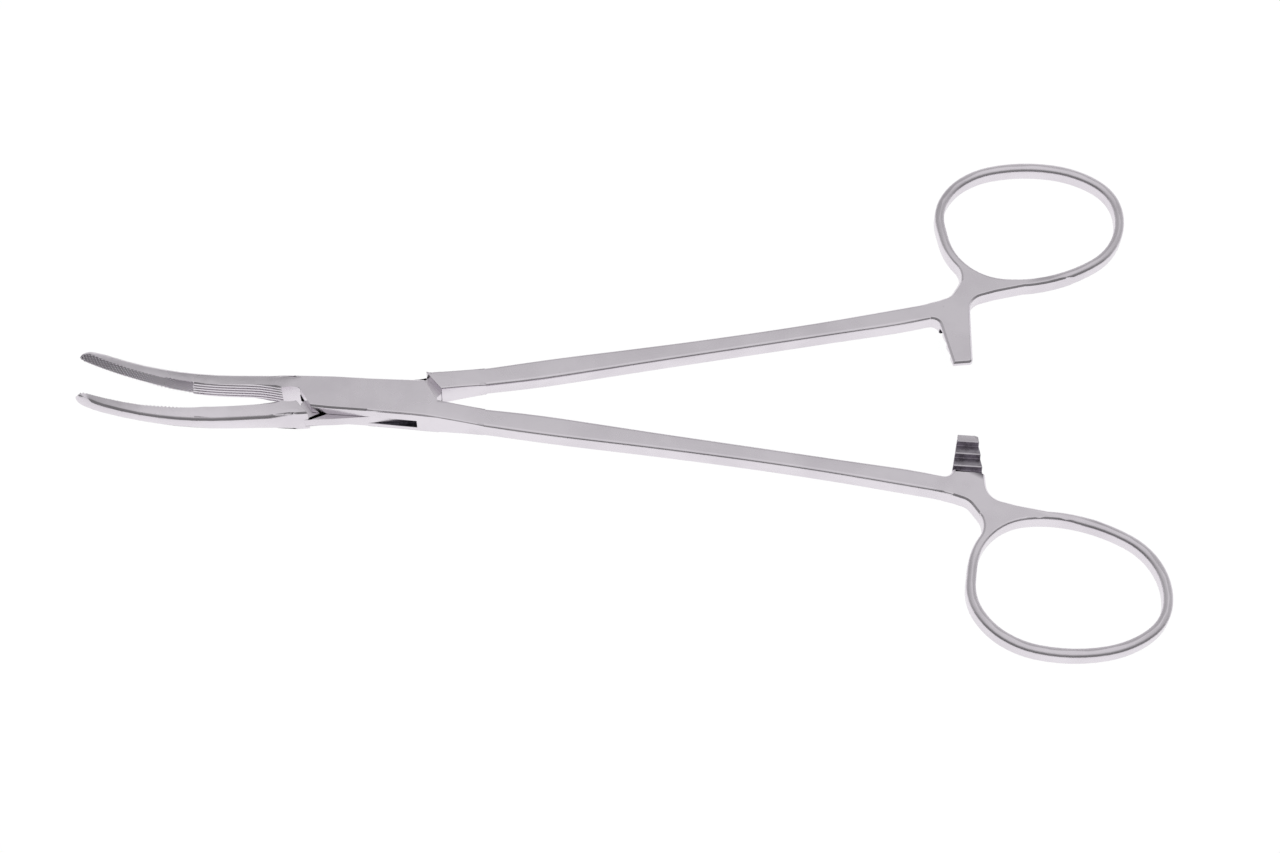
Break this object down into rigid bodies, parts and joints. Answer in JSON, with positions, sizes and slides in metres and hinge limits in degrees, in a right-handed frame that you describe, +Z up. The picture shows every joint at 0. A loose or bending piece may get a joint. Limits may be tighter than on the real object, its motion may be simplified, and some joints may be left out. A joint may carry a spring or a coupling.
{
  "type": "hemostat forceps",
  "caption": "Ring-handled locking forceps with curved serrated jaws, a box lock hinge and a ratchet between the shanks.",
  "frame": {"origin": "hinge pin axis where it meets the flat underside of the box lock", "axes": "+X from the jaws to the finger rings, +Y to the handle of the tongue half, +Z up out of the flat top of the box lock, the way the jaws curve"},
  "size_m": [0.1992, 0.109, 0.0133],
  "materials": {
    "satin_steel": "fine satin",
    "pin_steel": "ground flush, fine satin"
  },
  "bodies": {
    "box_body": {"box_half": "satin_steel", "box_lock_pin": "pin_steel"},
    "tongue_body": {"tongue_half": "satin_steel"}
  },
  "joints": [
    {"name": "box_lock_hinge", "type": "hinge", "parent": "box_body", "child": "tongue_body", "pos_m": [0, 0, 0], "axis": [0, 0, 1], "range_deg": [-9, 36]}
  ]
}
